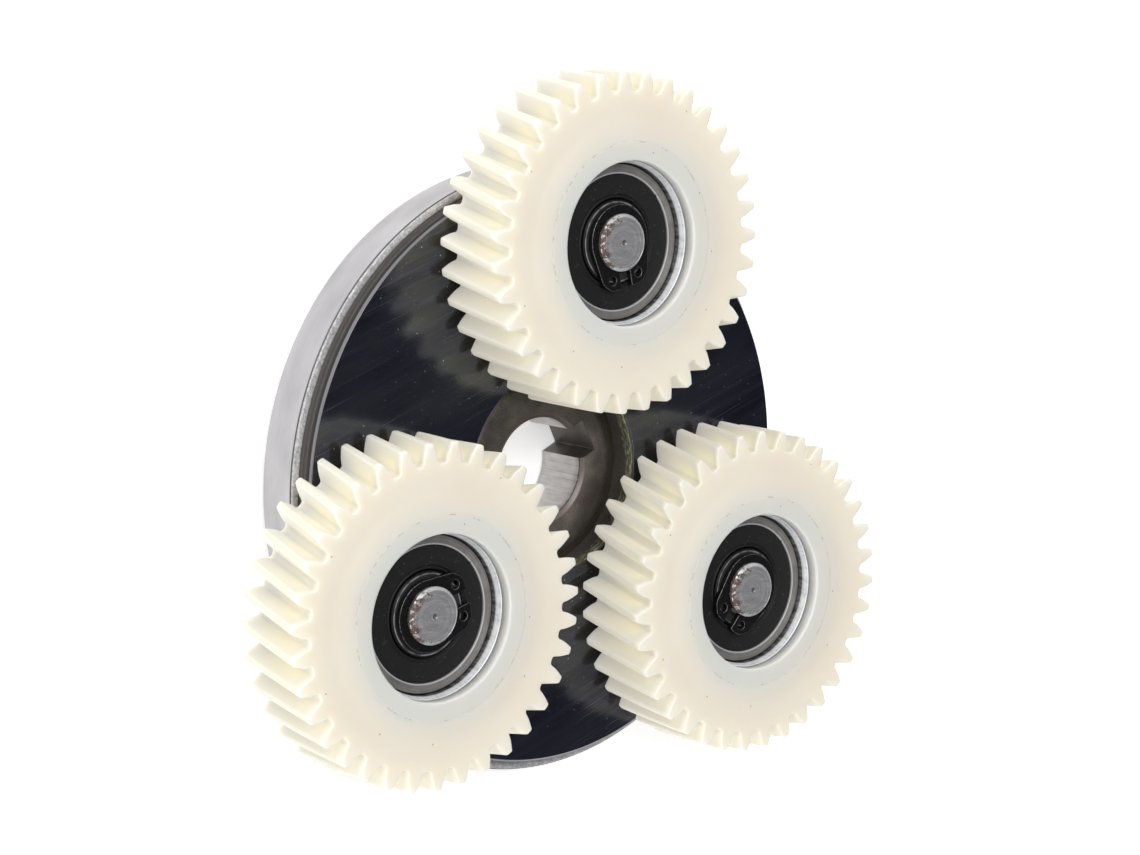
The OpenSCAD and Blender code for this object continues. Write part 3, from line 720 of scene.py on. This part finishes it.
def gear_rows(phase):
    """Rows of points for a whole gear, from the bore's rear edge round the outside to the bore's front."""
    _, _, pitch = involute_half_angle()
    outline = [(r, TAU * k / teeth + a) for k in range(teeth) for r, a in tooth_outline()]
    n = len(outline)
    flat = [Vector((r * math.cos(a), r * math.sin(a))) for r, a in outline]
    normal = []
    for k in range(n):
        d = (flat[(k + 1) % n] - flat[k - 1]).normalized()
        normal.append(Vector((d.y, -d.x)))
    twist_per_mm = math.tan(helix) / pitch

    def turn(v, z):
        a = math.radians(phase) - (gear_z1 - z) * twist_per_mm
        c, s = math.cos(a), math.sin(a)
        return (v.x * c - v.y * s, v.x * s + v.y * c, z)

    def outline_row(z, inset):
        return [turn(flat[k] - normal[k] * inset, z) for k in range(n)]

    def ring_row(r, z, dash=0.0):
        row = []
        for _, a in outline:
            dip = 0.0
            if dash:
                on = math.sin(a * 46) > -0.25 and noise.noise((math.cos(a) * 2, math.sin(a) * 2, phase)) > -0.12
                dip = dash if on else 0.0
            row.append(turn(Vector((r * math.cos(a), r * math.sin(a))), z)[:2] + (z - dip,))
        return row

    web = 20.2
    edge = 0.22
    rows = [ring_row(insert_r, insert_z0 + 0.02), ring_row(mouth_r, insert_z0), ring_row(mouth_r, gear_z0 + 0.25),
            ring_row(mouth_r + 0.07, gear_z0 + 0.07), ring_row(mouth_r + 0.25, gear_z0),
            ring_row(mouth_r + 0.3, gear_z0), ring_row(web, gear_z0), outline_row(gear_z0, edge + 0.02)]
    arc = [(edge * (1 - math.sin(k * math.pi / 8)), edge * (1 - math.cos(k * math.pi / 8))) for k in range(5)]
    rows += [outline_row(gear_z0 + dz, inset) for inset, dz in arc]
    levels = 14
    body = gear_z1 - gear_z0 - 2 * edge
    rows += [outline_row(gear_z0 + edge + body * k / levels, 0.0) for k in range(1, levels)]
    rows += [outline_row(gear_z1 - dz, inset) for inset, dz in reversed(arc)]
    lip = 0.30
    rows += [outline_row(gear_z1, edge + 0.02), ring_row(web, gear_z1), ring_row(web - 1, gear_z1)]
    for k in range(13):
        t = k / 12
        rise = (boss_z - 0.03 - gear_z1) * t * t * (3 - 2 * t)
        rows.append(ring_row(boss_r + 0.04 + (boss_slope + 1.0) * (1 - t), gear_z1 + rise))
    rows += [ring_row(boss_r, boss_z - 0.01, 0.04), ring_row(boss_r - 0.04, boss_z), ring_row(boss_r - 0.2, boss_z)]
    rows += [ring_row(mouth_r + lip + 0.05, boss_z)]
    rows += [ring_row(mouth_r + lip * (1 - math.sin(k * math.pi / 8)), boss_z - lip * (1 - math.cos(k * math.pi / 8)))
             for k in range(5)]
    rows += [ring_row(mouth_r, boss_z - lip - 0.05), ring_row(mouth_r, insert_z1), ring_row(insert_r, insert_z1)]
    return rows


def make_gear(i):
    ob = grid(f"gear_{i}", gear_rows(tooth_angle[i]), centre[i])
    return finish_piece(ob, NYLON, f"planet_{i}", "nylon", f"planet_gear_{i}")


def make_insert(i):
    f = 0.08
    shoulder = 9.9
    profile = rounded([
        (shoulder, insert_z0, f), (insert_r, insert_z0, f), (insert_r, insert_z1, f), (mouth_r - 0.03, insert_z1, 0.04),
        (mouth_r - 0.13, insert_z1 - 0.05, 0.05), (bearing_r + 0.02, insert_z1 - 0.68, 0.15),
        (bearing_r + 0.02, bearing_z0, 0.0), (shoulder, bearing_z0, f)])
    ob = lathe(f"insert_{i}", profile, centre[i])
    return finish_piece(ob, INSERT, f"planet_{i}", "insert_steel", f"gear_insert_{i}")


def groove_arc(side, steps=10):
    """Ball groove in a bearing ring, as points (r, z): side 1 for the outer ring, -1 for the inner."""
    track, radius, mid = 7.5, 2.02, (bearing_z0 + bearing_z1) / 2
    land = outer_land_r if side > 0 else land_r
    half = math.acos((land - track) * side / radius)
    return [(track + side * radius * math.cos(half - 2 * half * k / steps),
             mid + radius * math.sin(half - 2 * half * k / steps)) for k in range(steps + 1)]


def make_bearing(i):
    c, seat_depth = 0.32, 1.1
    top = rounded([(bearing_r, bearing_z0, c), (bearing_r, bearing_z1, c), (seal_r + 0.02, bearing_z1, 0.06),
                   (seal_r + 0.02, bearing_z1 - seat_depth, 0.0), (outer_land_r, bearing_z1 - seat_depth, 0.05)])
    bottom = [(outer_land_r, bearing_z0 + seat_depth), (seal_r + 0.02, bearing_z0 + seat_depth),
              (seal_r + 0.02, bearing_z0)]
    ring = lathe(f"ring_outer_{i}", top + groove_arc(1) + bottom, centre[i])
    finish_piece(ring, RING, f"planet_{i}", "ring_steel", f"outer_ring_{i}")
    start = [(land_r, bearing_z1 - 0.3), (land_r - 0.07, bearing_z1 - 0.1), (land_r - 0.3, bearing_z1),
             (pin_r + 0.3, bearing_z1), (pin_r + 0.01, bearing_z1 - 0.3), (pin_r + 0.01, bearing_z0 + 0.3),
             (pin_r + 0.3, bearing_z0), (land_r - 0.3, bearing_z0), (land_r, bearing_z0 + 0.3)]
    race = lathe(f"ring_inner_{i}", start + list(reversed(groove_arc(-1))), centre[i])
    finish_piece(race, RACE, "carrier", "bearing_steel", f"inner_ring_{i}")
    for name, face, way in (("front", bearing_z1 - 0.2, -1), ("rear", bearing_z0 + 0.2, 1)):
        profile = [(r, face + way * d) for r, d in rounded([
            (seal_r, 0.0, 0.12), (seal_r, 0.8, 0.05), (land_r + 0.08, 0.8, 0.05), (land_r + 0.08, 0.3, 0.08),
            (land_r + 0.25, 0.02, 0.1), (6.28, 0.02, 0.05), (6.38, 0.16, 0.08), (6.54, 0.16, 0.08), (6.66, -0.02, 0.08),
            (9.0, -0.02, 0.2)])]
        seal = lathe(f"seal_{name}_{i}", profile, centre[i])
        finish_piece(seal, RUBBER, f"planet_{i}", "seal_rubber", f"{name}_seal_{i}")


def make_planet_pin(i):
    g0 = clip_z0 - 0.04
    g1 = g0 + 0.9
    body = rounded([
        (0.0, pin_z0, 0.0), (pin_r, pin_z0, 0.3), (pin_r, plate_z, 0.0), (collar_r, plate_z, 0.12),
        (collar_r, bearing_z0, 0.12), (pin_r, bearing_z0, 0.0), (pin_r, g0, 0.03), (groove_r, g0, 0.0),
        (groove_r, g1, 0.0), (pin_r, g1, 0.03), (pin_r, pin_z1 - 0.42, 0.06), (pin_r - 0.42, pin_z1, 0.06)])
    face = []
    for k in range(1, 27):
        r = (pin_r - 0.42) * (1 - k / 27)
        if r < 0.55:
            break
        face.append((r, pin_z1 - 0.012 * (k % 2) - 0.03 * (1 - r / pin_r)))
    dot = [(0.52, pin_z1 - 0.03), (0.46, pin_z1 - 0.01), (0.40, pin_z1 - 0.04), (0.10, pin_z1 - 0.30),
           (0.0, pin_z1 - 0.31)]
    ob = lathe_solid(f"pin_{i}", body + face + dot, centre[i], sides=192)
    return finish_piece(ob, PIN, "carrier", "pin_steel", f"planet_pin_{i}")


def make_circlip(i):
    """A plate cut to the clip's outline with two holes, its edges rounded.

    The outline is laid out with the gap along +x: an offset circle, a straight run into each lug, the
    lug's three corners and the gap's edge.
    """
    shift, outer_r = 0.28, 5.0
    gap_half, end_x, corner, hole_at, hole = 0.95, 6.5, (5.1, 4.1), (4.9, 2.35), 0.65
    turn = math.radians(clip_angle[i])
    inner_r = groove_r + 0.01
    edge = 0.11
    start = math.acos((0.62 + shift) / outer_r)
    gap_turn = math.asin(gap_half / inner_r)
    upper = [(inner_r * math.cos(gap_turn), gap_half, 0.1), (end_x, gap_half, 0.3),
             (end_x - 0.15, corner[1] - 1.3, 0.5), (*corner, 0.5)]
    back = [start + (TAU - 2 * start) * k / 90 for k in range(91)]
    corners = upper + [(outer_r * math.cos(t) - shift, outer_r * math.sin(t), 0) for t in back]
    corners += [(x, -y, f) for x, y, f in reversed(upper)]
    inside = [TAU - gap_turn - 0.03 - (TAU - 2 * gap_turn - 0.06) * k / 90 for k in range(91)]
    corners += [(inner_r * math.cos(t), inner_r * math.sin(t), 0) for t in inside]
    spin = Matrix.Rotation(turn, 2)
    outline = [spin @ Vector(p) for p in rounded(corners, steps=6)]
    holes = []
    for s in (-1, 1):
        c = spin @ Vector((hole_at[0], s * hole_at[1]))
        holes.append([(c.x + hole * math.cos(TAU * k / 40), c.y + hole * math.sin(TAU * k / 40)) for k in range(40)])
    cu = bpy.data.curves.new(f"clip_{i}", "CURVE")
    cu.dimensions, cu.fill_mode = "2D", "BOTH"
    cu.extrude = (clip_z1 - clip_z0) / 2 * MM - edge * MM
    cu.bevel_depth, cu.bevel_resolution = edge * MM, 3
    cu.offset = -edge * MM
    for loop in [outline] + holes:
        sp = cu.splines.new("POLY")
        sp.points.add(len(loop) - 1)
        for p, (x, y) in zip(sp.points, loop):
            p.co = (x * MM, y * MM, 0, 1)
        sp.use_cyclic_u = True
    tmp = bpy.data.objects.new("tmp_clip", cu)
    bpy.context.scene.collection.objects.link(tmp)
    bpy.context.view_layer.update()
    me = bpy.data.meshes.new_from_object(tmp.evaluated_get(bpy.context.evaluated_depsgraph_get()))
    bpy.data.objects.remove(tmp)
    me.transform(Matrix.Translation((0, 0, (clip_z0 + clip_z1) / 2 * MM)))
    bm = bmesh.new()
    bm.from_mesh(me)
    bmesh.ops.remove_doubles(bm, verts=bm.verts, dist=1e-7)
    bmesh.ops.recalc_face_normals(bm, faces=bm.faces)
    bm.to_mesh(me)
    bm.free()
    ob = bpy.data.objects.new(f"clip_{i}", me)
    ob.location = (centre[i][0] * MM, centre[i][1] * MM, 0)
    bpy.context.scene.collection.objects.link(ob)
    me.materials.clear()
    return finish_piece(ob, CLIP, "carrier", "clip_steel", f"circlip_{i}")


make_housing()
make_carrier_plate()
make_clutch_hub()
make_bushes()
for i in PLANETS:
    make_gear(i)
    make_insert(i)
    make_bearing(i)
    make_planet_pin(i)
    make_circlip(i)

INNER_MATERIALS = {"clutch_rollers": POLISHED, "roller_springs": SPRING, "spring_plungers": BRASS}
for i in PLANETS:
    INNER_MATERIALS[f"bearing_balls_{i}"] = POLISHED
    INNER_MATERIALS[f"ball_cage_{i}"] = BRASS
for name, material in INNER_MATERIALS.items():
    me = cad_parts[name].data
    me.materials.clear()
    me.materials.append(material)
    me.shade_smooth()


# ---------------------------------------------------------------- floor, light, camera

def make_floor():
    m = Mat("pale_floor")
    cloud = m.noise(m.mm(), 0.01, 2.0)
    m.p(Base_Color=m.mix(cloud, lin(250, 250, 250), lin(255, 255, 255)), Roughness=0.9,
        Emission_Color=(1, 1, 1, 1), Emission_Strength=0.45)
    bpy.ops.mesh.primitive_plane_add(size=6)
    floor = bpy.context.object
    floor.name = "floor"
    floor.data.materials.append(m.mat)


def area_light(name, at, power, size, colour=(1, 1, 1)):
    data = bpy.data.lights.new(name, "AREA")
    data.energy, data.size, data.color = power, size, colour
    ob = bpy.data.objects.new(name, data)
    ob.location = at
    ob.rotation_euler = (Vector((0, 0, 0.01)) - Vector(at)).to_track_quat("-Z", "Y").to_euler()
    bpy.context.scene.collection.objects.link(ob)


def make_light():
    world = bpy.data.worlds.new("studio")
    bpy.context.scene.world = world
    world.use_nodes = True
    nt = world.node_tree
    bg = nt.nodes["Background"]
    bg.inputs["Strength"].default_value = 0.62
    tc = nt.nodes.new("ShaderNodeTexCoord")
    dot = nt.nodes.new("ShaderNodeVectorMath")
    dot.operation = "DOT_PRODUCT"
    dot.inputs[1].default_value = Vector((0.62, -0.10, 0.78)).normalized()
    ramp = nt.nodes.new("ShaderNodeValToRGB")
    el = ramp.color_ramp.elements
    el[0].position, el[0].color = 0.55, (1, 1, 1, 1)
    el[1].position, el[1].color = 0.97, (0.22, 0.23, 0.28, 1)
    nt.links.new(tc.outputs["Generated"], dot.inputs[0])
    nt.links.new(dot.outputs["Value"], ramp.inputs["Fac"])
    nt.links.new(ramp.outputs["Color"], bg.inputs["Color"])
    area_light("key", (-0.35, 0.45, 0.9), 6, 0.6)
    area_light("fill", (-0.7, -0.5, 0.5), 2, 0.8)


def make_camera():
    data = bpy.data.cameras.new("camera")
    data.lens, data.sensor_width = 87.49, 36
    data.clip_start, data.clip_end = 0.01, 50
    cam = bpy.data.objects.new("camera", data)
    bpy.context.scene.collection.objects.link(cam)
    place = Vector((-249.93, 49.48, 314.61)) * MM
    target = Vector((0.18, 6.75, 15.0)) * MM
    roll = math.radians(-100.91)
    aim = (target - place).to_track_quat("-Z", "Y")
    cam.rotation_mode = "QUATERNION"
    cam.location = place
    cam.rotation_quaternion = aim @ Matrix.Rotation(-roll, 4, "Z").to_quaternion()
    bpy.context.scene.camera = cam


make_floor()
make_light()
make_camera()
bpy.context.scene.view_settings.view_transform = "Standard"
